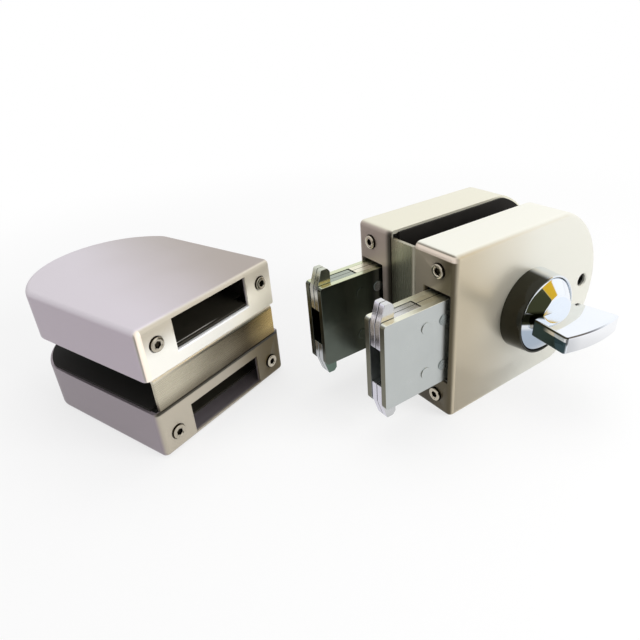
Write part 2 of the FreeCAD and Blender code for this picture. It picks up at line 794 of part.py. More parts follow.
def pinion_wire(z):
    """The toothed outline at a height, with one tooth towards +y."""
    pitch = pitch_radius.now
    outer = pinion_radius.now
    base = pitch * math.cos(math.radians(size.pressure_angle.now))
    foot = pitch - tooth_foot.now
    count = int(size.pinion_teeth.now)
    half_tooth = (tooth_pitch.now / 2 - size.tooth_play.now) / (2 * pitch)
    widest = half_tooth + involute(pitch, base)
    flank = [base, (base + outer) / 2, outer]
    edges = []
    for index in range(count):
        axis = math.pi / 2 + index * 2 * math.pi / count
        following = axis + 2 * math.pi / count
        right = [tooth_point(radius, axis - widest + involute(radius, base), z) for radius in flank]
        left = [tooth_point(radius, axis + widest - involute(radius, base), z) for radius in reversed(flank)]
        right_foot = tooth_point(foot, axis - widest, z)
        left_foot = tooth_point(foot, axis + widest, z)
        edges.append(Part.LineSegment(right_foot, right[0]).toShape())
        edges.append(Part.Arc(*right).toShape())
        edges.append(Part.LineSegment(right[2], left[0]).toShape())
        edges.append(Part.Arc(*left).toShape())
        edges.append(Part.LineSegment(left[2], left_foot).toShape())
        edges.append(Part.LineSegment(left_foot, tooth_point(foot, following - widest, z)).toShape())
    return Part.Wire(edges)


def pinion(label, side):
    """A pinion with a plain hub towards the plate."""
    thick = pinion_far_z.now - pinion_near_z.now
    hub_z = bush_top_z.now + size.end_play.now
    outward = Vector(0, 0, side)
    teeth = Part.Face(pinion_wire(side * pinion_near_z.now)).extrude(outward * thick)
    hub_foot = Vector(size.spindle_x.now, 0, side * hub_z)
    hub = Part.makeCylinder(size.hub_radius.now, pinion_near_z.now - hub_z, hub_foot, outward)
    bore = Part.makeCylinder(size.spindle_radius.now, pinion_far_z.now - hub_z, hub_foot, outward)
    gear = doc.addObject("Part::Feature", label)
    gear.Shape = teeth.fuse(hub).cut(bore).removeSplitter()
    finished(gear, label, LOCK)


pinion("front_pinion", 1)
pinion("rear_pinion", -1)


# Circlips: an open spring ring holds each pinion on the spindle
clips = Solid("spindle_circlips")
for side in (1, -1):
    ring = clips.circles("XY_Plane", side * pinion_far_z, [(size.spindle_x, 0)], size.circlip_radius)
    clips.pad(ring, size.circlip_thick, side)
    hole = clips.circles("XY_Plane", side * pinion_far_z, [(size.spindle_x, 0)], size.spindle_radius)
    clips.cut(hole, size.circlip_thick, side)
    mouth_half = size.circlip_radius * tangent(size.circlip_opening / 2)
    mouth = [(size.spindle_x, 0), (size.spindle_x + size.circlip_radius, -mouth_half),
             (size.spindle_x + size.circlip_radius, mouth_half)]
    clips.cut(clips.outline("XY_Plane", side * pinion_far_z, mouth), size.circlip_thick, side)
finished(clips.body, "spindle_circlips", LOCK)


# Hook bolts: two outer plates riveted over a toothed fork, with two hooked jaws on pins at the tip
rivet_places = [(rivet_x, size.rivet_y), (rivet_x, -size.rivet_y)]
pin_places = [(jaw_pivot_x, size.jaw_pivot_y), (jaw_pivot_x, -size.jaw_pivot_y)]


def bolt_plate(label, side, near_z):
    """An outer plate of a bolt."""
    solid = Solid(label)
    low = (bolt_tip_x, -bolt_half)
    high = (bolt_plate_rear_x, bolt_half)
    solid.pad(solid.rectangle("XY_Plane", side * near_z, low, high), size.bolt_plate, side)
    tip = bolt_tip_x.now
    solid.rounded(size.bolt_corner, lambda edge: near(edge.BoundBox.XMax, tip) and edge.BoundBox.YLength < 1)
    solid.cut(solid.circles("XY_Plane", side * near_z, rivet_places, size.rivet_radius), size.bolt_plate, side)
    solid.cut(solid.circles("XY_Plane", side * near_z, pin_places, size.pin_radius), size.bolt_plate, side)
    finished(solid.body, label, LOCK)


def bolt_rack(label, side):
    """The fork between the outer plates, with rack teeth along its upper arm."""
    solid = Solid(label)
    thick = core_far_z - core_near_z
    base_z = side * core_near_z
    root_y = pitch_radius + tooth_foot
    lower_y = pinion_radius + size.rack_lower_clear
    fork = [(rack_front_x, -bolt_half), (size.rack_rear, -bolt_half), (size.rack_rear, -lower_y),
            (window_front_x, -lower_y), (window_front_x, root_y), (size.rack_rear, root_y),
            (size.rack_rear, bolt_half), (rack_front_x, bolt_half)]
    solid.pad(solid.outline("XY_Plane", base_z, fork), thick, side)
    solid.cut(solid.circles("XY_Plane", base_z, rivet_places, size.rivet_radius), thick, side)
    slope = tangent(size.pressure_angle)
    middle_half = (tooth_pitch / 2 - size.tooth_play) / 2
    tip_y = pitch_radius - size.gear_module
    tip_half = middle_half - slope * size.gear_module
    root_half = middle_half + slope * tooth_foot
    last_x = size.spindle_x + tooth_pitch * 1.5
    tooth = [(last_x - tip_half, tip_y), (last_x + tip_half, tip_y), (last_x + root_half, root_y),
             (last_x - root_half, root_y)]
    first_tooth = solid.pad(solid.outline("XY_Plane", base_z, tooth), thick, side)
    row = solid.body.newObject("PartDesign::LinearPattern", "RackTeeth")
    row.Originals = [first_tooth]
    row.Direction = (solid.origin("X_Axis"), [""])
    row.Reversed = True
    row.Mode = "Spacing"
    row.setExpression("Offset", tooth_pitch.text)
    row.setExpression("Occurrences", (whole(throw / tooth_pitch) + 5).text)
    solid.body.Tip = row
    finished(solid.body, label, LOCK)


def bolt_fasteners(label, side, places, shank, head):
    """Rivets or pins through a bolt, with flat heads on the outer plates."""
    solid = Solid(label)
    solid.pad(solid.circles("XY_Plane", side * bolt_near_z, places, shank), bolt_far_z - bolt_near_z, side)
    solid.pad(solid.circles("XY_Plane", side * bolt_far_z, places, head), size.rivet_head, side)
    solid.pad(solid.circles("XY_Plane", side * bolt_near_z, places, head), size.rivet_head, -side)
    finished(solid.body, label, LOCK)


def jaw(label, side, hand, lip_y):
    """A hooked jaw: two leaves joined round the eye; hand is 1 for the upper jaw, -1 for the lower."""
    solid = Solid(label)
    tip_x = bolt_tip_x + size.jaw_tip_sink
    nose_x = tip_x + size.jaw_nose_back
    eye_y = size.jaw_pivot_y
    eye = size.jaw_eye
    shoulder_y = bolt_half - size.jaw_tip_sink * 4
    top_y = size.jaw_nose_high
    crown_x = tip_x + size.jaw_nose_lean
    points = [(tip_x, lip_y), (jaw_pivot_x, eye_y - eye), (jaw_pivot_x + eye, eye_y), (jaw_pivot_x, eye_y + eye),
              (nose_x, shoulder_y), (nose_x, top_y - size.jaw_nose_tip / 2),
              (crown_x + size.jaw_nose_tip, top_y), (crown_x, top_y), (tip_x, bolt_half - size.bolt_corner)]
    base_z = side * (core_near_z + size.jaw_side_play)
    thick = core_far_z - core_near_z - size.jaw_side_play * 2
    corners = [(x, hand * y) for x, y in points]
    profile = solid.outline("XY_Plane", base_z, corners, {1: (eye, hand), 2: (eye, hand)})
    solid.pad(profile, thick, side)
    top = top_y.now - size.jaw_nose_tip.now / 2 - 0.01
    solid.rounded(size.jaw_nose_tip / 4,
                  lambda edge: edge.BoundBox.ZLength > 1 and hand * edge.BoundBox.Center.y > top)
    hole = solid.circles("XY_Plane", base_z, [(jaw_pivot_x, hand * eye_y)], size.pin_radius + size.pin_play)
    solid.cut(hole, thick, side)
    slit_z = side * ((core_near_z + core_far_z) / 2 - size.jaw_slit / 2)
    low = (tip_x, -size.jaw_nose_high)
    high = (jaw_pivot_x - eye / 2, size.jaw_nose_high)
    solid.cut(solid.rectangle("XY_Plane", slit_z, low, high), size.jaw_slit, side)
    finished(solid.body, label, LOCK)


for half, side in (("front", 1), ("rear", -1)):
    bolt_plate(half + "_bolt_outer_plate", side, core_far_z)
    bolt_plate(half + "_bolt_inner_plate", side, bolt_near_z)
    bolt_rack(half + "_bolt_rack", side)
    bolt_fasteners(half + "_bolt_rivets", side, rivet_places, size.rivet_radius, size.rivet_head_radius)
    bolt_fasteners(half + "_bolt_jaw_pins", side, pin_places, size.pin_radius, size.rivet_head_radius)
    jaw(half + "_upper_jaw", side, 1, size.upper_jaw_lip)
    jaw(half + "_lower_jaw", side, -1, size.lower_jaw_lip)


# Round plate of the thumb-turn: a chromed cup, spigoted into the front cover
rose = Solid("thumb_rose")
bore = size.spindle_radius + size.spindle_play
cup_radius = size.rose_rim_radius - size.rose_lip
rose_profile = [(bore, cover_inside_z), (size.spigot_radius, cover_inside_z), (size.spigot_radius, big_face_z),
                (size.rose_radius, big_face_z), (size.rose_rim_radius, big_face_z + size.rose_high),
                (cup_radius, big_face_z + size.rose_high), (cup_radius, rose_floor_z), (bore, rose_floor_z)]
rose.turned(rose_profile, size.spindle_x)
finished(rose.body, "thumb_rose", LOCK)


# Thumb-turn: a cone that turns in the cup, with a flat paddle that widens to a curved end
turn = Solid("thumb_turn")
cone_radius = cup_radius - size.turn_side_play
turn_rim_z = turn_base_z + size.turn_rim_high
cone_profile = [(0, turn_base_z), (cone_radius, turn_base_z), (cone_radius, turn_rim_z),
                (size.turn_neck_radius, turn_top_z), (0, turn_top_z)]
turn.turned(cone_profile, size.spindle_x)
paddle_end_z = big_face_z + size.paddle_reach
paddle_corner_z = paddle_end_z - size.paddle_bulge
paddle_end_radius = ((size.paddle_tip_half * size.paddle_tip_half + size.paddle_bulge * size.paddle_bulge)
                     / (size.paddle_bulge * 2))
paddle = [(-size.paddle_root_half, turn_rim_z), (size.paddle_root_half, turn_rim_z),
          (size.paddle_tip_half, paddle_corner_z), (-size.paddle_tip_half, paddle_corner_z)]
paddle_arcs = {2: (paddle_end_radius, 1)}
paddle_drawing = turn.outline("XZ_Plane", 0, paddle, paddle_arcs, size.spindle_x)
paddle_drawing.AttachmentOffset = FreeCAD.Placement(Vector(size.spindle_x.now, 0, 0),
                                                    FreeCAD.Rotation(Vector(0, -1, 0), size.paddle_tilt.now))
paddle_drawing.setExpression("AttachmentOffset.Rotation.Angle", size.paddle_tilt.text + " * 1 deg")
turn.pad(paddle_drawing, size.paddle_thick, middle=True)
neck_z = turn_top_z.now


def paddle_edge(edge):
    """The paddle's edges clear of the cone."""
    return edge.BoundBox.Center.z > neck_z + size.paddle_edge.now


turn.rounded(size.paddle_edge, paddle_edge)
socket = turn.circles("XY_Plane", turn_base_z, [(size.spindle_x, 0)], size.spindle_radius)
turn.cut(socket, spindle_front_z - turn_base_z)
finished(turn.body, "thumb_turn", LOCK)


# Key cylinder on the rear cover: ring, body, and the plug that the key turns
ring = Solid("cylinder_ring")
ring_profile = [(size.ring_inner_radius, -big_face_z), (size.rose_radius, -big_face_z),
                (size.rose_rim_radius, -big_face_z - size.ring_high),
                (size.ring_inner_radius, -big_face_z - size.ring_high)]
ring.turned(ring_profile, size.spindle_x)
finished(ring.body, "cylinder_ring", LOCK)

cylinder = Solid("key_cylinder")
cylinder_end_z = -big_face_z - size.cylinder_high
plug_bore = size.plug_radius + size.spindle_play
cylinder_profile = [(bore, -cover_inside_z), (size.spigot_radius, -cover_inside_z), (size.spigot_radius, -big_face_z),
                    (size.cylinder_radius, -big_face_z), (size.cylinder_radius, cylinder_end_z),
                    (plug_bore, cylinder_end_z), (plug_bore, -spindle_rear_z), (bore, -spindle_rear_z)]
cylinder.turned(cylinder_profile, size.spindle_x)
finished(cylinder.body, "key_cylinder", LOCK)

plug = Solid("key_plug")
plug_circle = plug.circles("XY_Plane", -plug_end_z, [(size.spindle_x, 0)], size.plug_radius)
plug.pad(plug_circle, size.plug_deep)
keyway_low = (size.spindle_x - size.keyway_wide / 2, -size.keyway_high / 2)
keyway_high = (size.spindle_x + size.keyway_wide / 2, size.keyway_high / 2)
plug.cut(plug.rectangle("XY_Plane", -plug_end_z, keyway_low, keyway_high), size.keyway_deep)
finished(plug.body, "key_plug", LOCK)


# Strike boxes: folded sheet behind each slot of the strike, where the hooks open; the floor reaches to the slot
def strike_box(label, side):
    """A box open towards the face, standing on the plate by its side walls."""
    solid = Solid(label)
    outer_half = size.box_half + size.box_sheet
    top_z = cover_inside_z - size.inner_play
    floor_z = bolt_near_z - size.box_floor_play
    front_x = inner_inset + size.lug_deep + size.inner_play
    outer_low = (-outer_half, side * plate_top_z)
    outer_high = (outer_half, side * top_z)
    solid.pad(solid.rectangle("YZ_Plane", front_x, outer_low, outer_high), size.box_deep)
    room_low = (-size.box_half, side * floor_z)
    room_high = (size.box_half, side * (top_z - size.box_sheet))
    solid.cut(solid.rectangle("YZ_Plane", front_x, room_low, room_high), size.box_deep - size.box_sheet)
    under_low = (-size.box_half, side * plate_top_z)
    under_high = (size.box_half, side * (floor_z - size.box_sheet))
    solid.cut(solid.rectangle("YZ_Plane", front_x, under_low, under_high), size.box_deep)
    lip_half = size.slot_half + size.box_lip_over
    lip_low = (-lip_half, side * (floor_z - size.box_sheet))
    lip_high = (lip_half, side * floor_z)
    lip = solid.rectangle("YZ_Plane", inner_inset, lip_low, lip_high)
    solid.pad(lip, front_x + size.box_sheet - inner_inset)
    finished(solid.body, label, STRIKE)


strike_box("strike_upper_box", 1)
strike_box("strike_lower_box", -1)


# Check, then write one file for each piece
doc.recompute()
for thing in doc.Objects:
    if "Invalid" in thing.State or "Error" in thing.State:
        raise RuntimeError("%s failed: %s" % (thing.Label, thing.State))
for feature in cuts:
    if feature.Shape.Volume > feature.BaseFeature.Shape.Volume - 0.001:
        raise RuntimeError("%s of %s cuts nothing" % (feature.Name, feature.getParentGeoFeatureGroup().Label))
os.makedirs("parts", exist_ok=True)
for piece in pieces:
    if piece.Shape.isNull() or not piece.Shape.isValid():
        raise RuntimeError("%s has no valid shape" % piece.Label)
    piece.Shape.exportStep("parts/%s.step" % piece.Label)
print("pieces", len(pieces))
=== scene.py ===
import bpy
import bmesh
import math
from mathutils import Matrix, Vector


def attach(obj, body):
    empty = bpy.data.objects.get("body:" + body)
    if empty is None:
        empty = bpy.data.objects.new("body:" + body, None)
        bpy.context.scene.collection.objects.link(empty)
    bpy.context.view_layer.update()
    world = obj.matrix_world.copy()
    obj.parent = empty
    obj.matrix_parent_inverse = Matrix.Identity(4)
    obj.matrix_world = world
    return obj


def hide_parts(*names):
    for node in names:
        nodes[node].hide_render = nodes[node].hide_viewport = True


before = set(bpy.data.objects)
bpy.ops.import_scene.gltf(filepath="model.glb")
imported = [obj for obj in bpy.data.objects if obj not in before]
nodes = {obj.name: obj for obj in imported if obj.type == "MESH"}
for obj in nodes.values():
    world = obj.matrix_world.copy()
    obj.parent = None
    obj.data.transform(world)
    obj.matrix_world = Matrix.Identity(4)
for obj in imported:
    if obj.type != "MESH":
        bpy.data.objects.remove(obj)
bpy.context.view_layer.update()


# Covers: deep-drawn from stainless sheet, one for each half of both units, satin brushed along the depth of the case,
# with edges rounded in the press; light and shade are painted into their colour. The strike's pair has tones of its
# own, cooler and greyer.
# A unit's own axes: x from its face into the case, y up its height, z out through the glass.
MM = 0.001
WHITE = (1.0, 1.0, 1.0, 1.0)
SHARP = math.radians(32)
FLAT = math.radians(0.5)
MERGED = 0.001
STRIKE_DEGREES = 110.5
LOCK_PLACE = Matrix.Translation((14.793 * MM, -31.253 * MM, 34 * MM)) @ Matrix.Rotation(math.radians(90), 4, "X")
STRIKE_PLACE = (Matrix.Translation((-48.607 * MM, 3.647 * MM, 27 * MM))
                @ Matrix.Rotation(math.radians(STRIKE_DEGREES), 4, "Z"))


def display(red, green, blue):
    """A colour as it looks on a screen, from 0 to 255, as the renderer's linear colour."""
    shares = [value / 255 for value in (red, green, blue)]
    return tuple(((share + 0.055) / 1.055) ** 2.4 if share > 0.04045 else share / 12.92 for share in shares) + (1.0,)


class Field:
    """A value that varies over a surface: a shader socket that takes part in sums."""

    def __init__(self, shading, output):
        self.shading = shading
        self.output = output

    def __add__(self, other):
        return self.shading.maths("ADD", self, other)

    def __radd__(self, other):
        return self.shading.maths("ADD", other, self)

    def __sub__(self, other):
        return self.shading.maths("SUBTRACT", self, other)

    def __rsub__(self, other):
        return self.shading.maths("SUBTRACT", other, self)

    def __mul__(self, other):
        return self.shading.maths("MULTIPLY", self, other)

    def __rmul__(self, other):
        return self.shading.maths("MULTIPLY", other, self)

    def __neg__(self):
        return 0 - self

    def __abs__(self):
        return self.shading.maths("ABSOLUTE", self)


class Shading:
    """The shader nodes of a material or of the room."""

    def __init__(self, owner):
        owner.use_nodes = True
        self.tree = owner.node_tree

    def node(self, kind, inputs=None, output=0, **settings):
        """Adds a shader node: its settings first, then the values or links of its sockets."""
        made = self.tree.nodes.new("ShaderNode" + kind)
        for name, value in settings.items():
            setattr(made, name, value)
        for name, value in (inputs or {}).items():
            self.feed(made.inputs[name], value)
        return Field(self, made.outputs[output])

    def feed(self, socket, value):
        if isinstance(value, Field):
            self.tree.links.new(value.output, socket)
        else:
            socket.default_value = value

    def maths(self, operation, *terms):
        return self.node("Math", dict(enumerate(terms)), operation=operation)

    def axes(self, vector):
        """The three parts of a place or direction."""
        parts = self.node("SeparateXYZ", {"Vector": vector})
        return [Field(self, output) for output in parts.output.node.outputs]

    def ramp(self, value, low, high):
        """A smooth rise from 0 to 1 as a value goes from low to high."""
        return self.node("MapRange", {"Value": value, "From Min": low, "From Max": high},
                         interpolation_type="SMOOTHSTEP")

    def between(self, low, high, share):
        """A colour between two, by a share from 0 to 1."""
        return self.node("Mix", {0: share, 6: low, 7: high}, output=2, data_type="RGBA")

    def layered(self, colour, *layers):
        """A colour with others laid over it in turn, each by its share from 0 to 1."""
        for over, share in layers:
            colour = self.between(colour, over, share)
        return colour


class Finish(Shading):
    """A material on one Principled shader, in the frame of the unit that it belongs to."""

    def __init__(self, name, place=LOCK_PLACE, **constants):
        self.material = bpy.data.materials.new(name)
        super().__init__(self.material)
        self.shader = self.tree.nodes["Principled BSDF"]
        self.set(**constants)
        home = place.inverted()
        corner = self.node("TexCoord", output="Object")
        self.place = self.node("Mapping", {"Vector": corner, "Location": home.to_translation(),
                                           "Rotation": home.to_euler()}, vector_type="POINT")

    def set(self, **sockets):
        """Gives the shader's sockets their values or links; an underscore stands for a space."""
        for socket, value in sockets.items():
            self.feed(self.shader.inputs[socket.replace("_", " ")], value)

    def rise(self, distance, low, high):
        """A smooth rise from 0 to 1 between two places, in millimetres."""
        return self.ramp(distance, low * MM, high * MM)

    def fall(self, distance, low, high):
        """A smooth fall from 1 to 0 between two places, in millimetres."""
        return 1 - self.rise(distance, low, high)

    def noise(self, scale, detail=2.0, rough=0.5):
        """Noise from 0 to 1; scale gives its patches per metre, alike or along each axis of the unit."""
        scale = scale if isinstance(scale, tuple) else (scale,) * 3
        stretched = self.node("Mapping", {"Vector": self.place, "Scale": scale})
        return self.node("TexNoise", {"Vector": stretched, "Scale": 1.0, "Detail": detail, "Roughness": rough})

    def bump(self, height, depth, strength=0.5):
        """Relief from a height of 0 to 1, which stands for a depth in millimetres."""
        self.set(Normal=self.node("Bump", {"Height": height, "Distance": depth * MM, "Strength": strength}))


def finished(name, shape, body, material, stands_for, edge=0.0):
    """Makes an object of a shape: smooth but for its sharp edges, which get a small round."""
    mesh = bpy.data.meshes.new(name)
    shape.to_mesh(mesh)
    shape.free()
    mesh.shade_smooth()
    mesh.set_sharp_from_angle(angle=SHARP)
    mesh.materials.append(material)
    piece = bpy.data.objects.new(name, mesh)
    bpy.context.scene.collection.objects.link(piece)
    if edge:
        rounding = piece.modifiers.new("edge", "BEVEL")
        rounding.width = edge * MM
        rounding.segments = 2
        rounding.limit_method = "ANGLE"
        rounding.angle_limit = SHARP
        rounding.harden_normals = True
    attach(piece, body)
    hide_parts(*stands_for)


def whole_faces(node):
    """A copy of a CAD piece, its loose triangles merged to whole faces."""
    shape = bmesh.new()
    shape.from_mesh(nodes[node].data)
    bmesh.ops.remove_doubles(shape, verts=shape.verts, dist=MERGED * MM)
    bmesh.ops.dissolve_limit(shape, angle_limit=FLAT, verts=shape.verts, edges=shape.edges)
    return shape


def refined(node, body, material, edge):
    """A copy of a CAD piece with whole faces, smooth curves and slightly rounded edges."""
    finished(node + "_finished", whole_faces(node), body, material, [node], edge)


COVER_EDGE = 0.15
GRAIN_LONG, GRAIN_FINE = 45, 2600
# Painted shadow on the rear half's end, along the seam at the channel
SEAM_END = -7.6
SEAM_SHADOW = display(50, 45, 34)
# Painted highlight along the top front edge of each end, and a dark line past it
RIM_HIGHLIGHT, RIM_SHADE = display(252, 236, 220), display(80, 70, 50)


def satin(name, place, shading_line, faces, sides, ends, far_ends, corner, slot_edge_lighting, end_metal, seam_start):
    """Brushed stainless, its grain along the depth on the sides and along the height on the slotted end.

    The faces have painted light and shade: two tones along a line, given as a direction in x and y and where the change
    starts and ends on it. The other pairs are painted tones of the rear half and of the front, which are lit
    differently; far_ends are those of the end's lower part. corner is painted shade along the end's front corner and
    where the bolts' shadow falls beside the slot; the slot's edge tone is painted along its lower edge, a highlight on
    the strike and shade on the lock; the seam gets a painted shadow, and the top of the end gets a painted highlight
    with a dark line past it."""
    finish = Finish(name, place)
    x, y, z = finish.axes(finish.place)
    cloud = finish.noise(22)
    drift = (cloud - 0.5) * 0.02
    front_half = finish.rise(z, -2, 2)
    on_face = finish.rise(abs(z), 24.8, 26.8)
    on_end = finish.fall(x, 0.2, 1.6)
    # Painted shade: along the front corner of the end, and beside the slot where the bolts' shadow falls
    corner_shade = finish.fall(x, 0.3, 1.3) * finish.rise(z, 14, 24)
    slot_shadow = finish.rise(z, 16, 21) * finish.fall(abs(y), 18, 23) * on_end
    # Painted tone along the slot's lower edge: a highlight on the strike, shade on the lock
    on_slot_edge = (finish.rise(z, 11.3, 11.6) * finish.fall(z, 12.2, 12.5) * finish.fall(abs(y), 18.4, 18.9)
                    * finish.fall(x, 1.2, 2.4))
    # Painted shadow on the rear half's end, where it meets the channel
    seam_shadow = on_end * finish.rise(z, seam_start, SEAM_END) * (1 - front_half)
    # Painted highlight over the top front edge of the end, with a dark line past it
    on_rim = on_end * finish.rise(y, 31.2, 31.6) * finish.rise(z, 5, 9)
    along_x, along_y, start, stop = shading_line
    # Painted light and shade: the faces' two tones, and the tones of the sides and ends of the rear half and the front
    face = finish.between(*faces, finish.rise(x * along_x + y * along_y + drift, start, stop))
    side = finish.between(*sides, front_half)
    end = finish.between(finish.between(*ends, front_half), finish.between(*far_ends, front_half),
                         finish.rise(drift - y, 0, 30))
    rim = finish.between(RIM_HIGHLIGHT, RIM_SHADE, finish.rise(y, 33.1, 33.5))
    colour = finish.layered(side, (face, on_face), (end, on_end),
                            (corner, finish.maths("MAXIMUM", corner_shade, slot_shadow)),
                            (SEAM_SHADOW, seam_shadow), (slot_edge_lighting, on_slot_edge), (rim, on_rim))
    grain_sides = finish.noise((GRAIN_LONG, GRAIN_FINE, GRAIN_FINE), 3.0, 0.65)
    grain_end = finish.noise((GRAIN_FINE, GRAIN_LONG, GRAIN_FINE), 3.0, 0.65)
    grain = grain_sides + (grain_end - grain_sides) * on_end
    finish.set(Base_Color=colour, Metallic=0.6 - on_end * (0.6 - end_metal),
               Roughness=0.34 + (grain - 0.5) * 0.12 + (cloud - 0.5) * 0.08)
    finish.bump(grain, 0.003)
    return finish.material


# Painted light and shade in these tones: faces dark to light, sides and ends of the rear half and the front, the end's
# lower part, its front corner and the slot's edge
warm_satin = satin("warm_satin_stainless", LOCK_PLACE, shading_line=(1, 0, 4, 50),
                   faces=(display(194, 183, 160), display(221, 220, 210)),
                   sides=(display(232, 229, 210), display(240, 239, 228)),
                   ends=(display(176, 162, 152), display(168, 158, 140)),
                   far_ends=(display(166, 156, 142), display(72, 64, 50)),
                   corner=display(92, 83, 62), slot_edge_lighting=display(120, 110, 88), end_metal=0.4, seam_start=-10.6)
cool_satin = satin("cool_satin_stainless", STRIKE_PLACE, shading_line=(0.3, 1, -25, 35),
                   faces=(display(170, 160, 153), display(214, 207, 214)),
                   sides=(display(166, 155, 162), display(206, 194, 204)),
                   ends=(display(168, 160, 145), display(232, 230, 222)),
                   far_ends=(display(102, 86, 46), display(255, 248, 228)),
                   corner=display(182, 174, 158), slot_edge_lighting=WHITE, end_metal=0.0, seam_start=-8.2)
for name, material in (("lock_front_cover", warm_satin), ("lock_rear_cover", warm_satin),
                       ("strike_upper_cover", cool_satin), ("strike_lower_cover", cool_satin)):
    refined(name, "fixed_parts", material, COVER_EDGE)


# Channels: stainless strip bent across the glass gap in each face, held by a tongue under the front
# or upper plate; brushed along the height of the case
CHANNEL_EDGE = 0.12
# Painted shade over the channels' rear half
REAR_SHADE = (0.42, 0.4, 0.38, 1.0)


def bent_strip(name, place, upper, middle, lower, bend_highlight):
    """Brushed strip, a little duller than the covers, with painted light and shade: its tone goes from the upper end to
    the lower one and darkens as painted shade towards the rear half, and the bend towards the front half has a painted
    highlight."""
    finish = Finish(name, place, Metallic=0.9)
    up, through = finish.axes(finish.place)[1:]
    grain = finish.noise((GRAIN_FINE, 60, GRAIN_FINE), 3.0, 0.65)
    drift = (finish.noise(30) - 0.5) * 0.02
    # Painted light and shade from the upper end to the lower
    colour = finish.layered(middle, (upper, finish.rise(up + drift, -14, 28)),
                            (lower, finish.rise(drift - up, 16, 34)))
    shade = finish.between(REAR_SHADE, WHITE, finish.rise(through + drift * 0.1, -7.5, -1))
    colour = finish.node("Mix", {0: 1.0, 6: colour, 7: shade}, output=2, data_type="RGBA", blend_type="MULTIPLY")
    # Painted highlight on the bend towards the front half
    finish.set(Base_Color=finish.between(colour, bend_highlight, finish.rise(through, 4.8, 6.4)),
               Roughness=0.28 + (grain - 0.5) * 0.16)
    finish.bump(grain, 0.004, 0.6)
    return finish.material


lock_strip = bent_strip("lock_channel_stainless", LOCK_PLACE, upper=display(178, 174, 156),
                        middle=display(146, 143, 128), lower=display(134, 130, 114), bend_highlight=display(172, 166, 150))
strike_strip = bent_strip("strike_channel_stainless", STRIKE_PLACE, upper=display(214, 206, 184),
                          middle=display(98, 87, 66), lower=display(240, 212, 146), bend_highlight=display(247, 242, 228))
refined("lock_edge_channel", "fixed_parts", lock_strip, CHANNEL_EDGE)
refined("strike_edge_channel", "fixed_parts", strike_strip, CHANNEL_EDGE)


# Gaskets: black rubber sheet, cut to the outline of the case and glued to the glass side of each
# plate, with a fine matt grain and a little dust
GASKET_EDGE = 0.1
rubber = Finish("black_rubber", Specular_IOR_Level=0.3)
dust = rubber.noise(120, 3.0)
rubber.set(Base_Color=rubber.between(display(20, 19, 18), display(40, 37, 34), dust),
           Roughness=0.75 + (dust - 0.5) * 0.2)
rubber.bump(rubber.noise(2500), 0.02)
for name in ("lock_front_gasket", "lock_rear_gasket", "strike_upper_gasket", "strike_lower_gasket"):
    refined(name, "fixed_parts", rubber.material, GASKET_EDGE)


# Glass plates: zinc-plated steel, one behind each gasket, with two lugs that take the face screws
# and hold the cover
def dress(name, material):
    """Gives a CAD piece its finish."""
    mesh = nodes[name].data
    mesh.materials.clear()
    mesh.materials.append(material)


def plated(name, colour, second, rough, spangle=160):
    """Zinc plate or cast metal: faint spangle, small pits and a cloudy colour."""
    finish = Finish(name, Metallic=1.0)
    cloud = finish.noise(spangle, 3.0, 0.6)
    finish.set(Base_Color=finish.between(colour, second, cloud), Roughness=rough + (cloud - 0.5) * 0.18)
    finish.bump(finish.noise(1800), 0.006)
    return finish.material


plate_zinc = plated("plate_zinc", display(150, 150, 146), display(120, 120, 116), 0.38)
for name in ("lock_front_plate", "lock_rear_plate", "strike_upper_plate", "strike_lower_plate"):
    dress(name, plate_zinc)


# Core: die-cast zinc block in the notch of the glass; it joins the halves of the lock and stays hidden
# behind the channel. Steel sleeves do the same in the strike.
cast_zinc = plated("die_cast_zinc", display(88, 88, 90), display(62, 62, 64), 0.5, 400)
dress("lock_core_block", cast_zinc)
dress("strike_clamp_sleeves", plate_zinc)


# Clamp screws and nuts: M4 socket screws through both halves, black oxide; the set screw near the
# back of the lock is of the same steel
oxide = plated("black_oxide_steel", display(70, 68, 66), display(44, 43, 42), 0.42, 500)
for name in ("lock_clamp_screws", "lock_clamp_nuts", "strike_clamp_screws", "strike_clamp_nuts", "lock_apex_screw"):
    dress(name, oxide)


# Face screws: four M3 stainless socket screws in each face, with turned heads and a hexagon socket that is painted dark
# deep inside as shade; they hold the covers to the plates' lugs
SCREW_PROFILE = ((1.5, 6.5), (1.5, 0.7), (2.75, 0.7), (2.75, -0.62), (2.62, -0.88), (2.36, -1.0), (1.78, -1.0),
                 (1.62, -0.84), (1.44, -0.8), (1.44, 0.1), (0.0, 0.55))
SOCKET_RADIUS = 1.44
SOCKET_HALF_WIDTH = 1.25
SOCKET_TOLERANCE = 0.01
# Depths in the socket where its painted shade starts and is full
SOCKET_SHADE_START, SOCKET_SHADE_FULL = -0.82, -0.6
SCREW_STEPS = 48
SCREW_Y = 26.5
SCREW_Z = 19.0
MILLIMETRES = Matrix.Scale(MM, 4)


def spun(shape, profile, steps):
    """A turned shape: a profile of radius and height, spun about the z axis. Gives back its vertices."""
    others = set(shape.verts)
    points = [shape.verts.new((radius, 0, height)) for radius, height in profile]
    edges = [shape.edges.new(pair) for pair in zip(points, points[1:])]
    bmesh.ops.spin(shape, geom=points + edges, axis=(0, 0, 1), cent=(0, 0, 0), angle=math.tau, steps=steps,
                   use_merge=True)
    turned = [vert for vert in shape.verts if vert not in others]
    bmesh.ops.remove_doubles(shape, verts=turned, dist=MERGED / 2)
    return [vert for vert in turned if vert.is_valid]


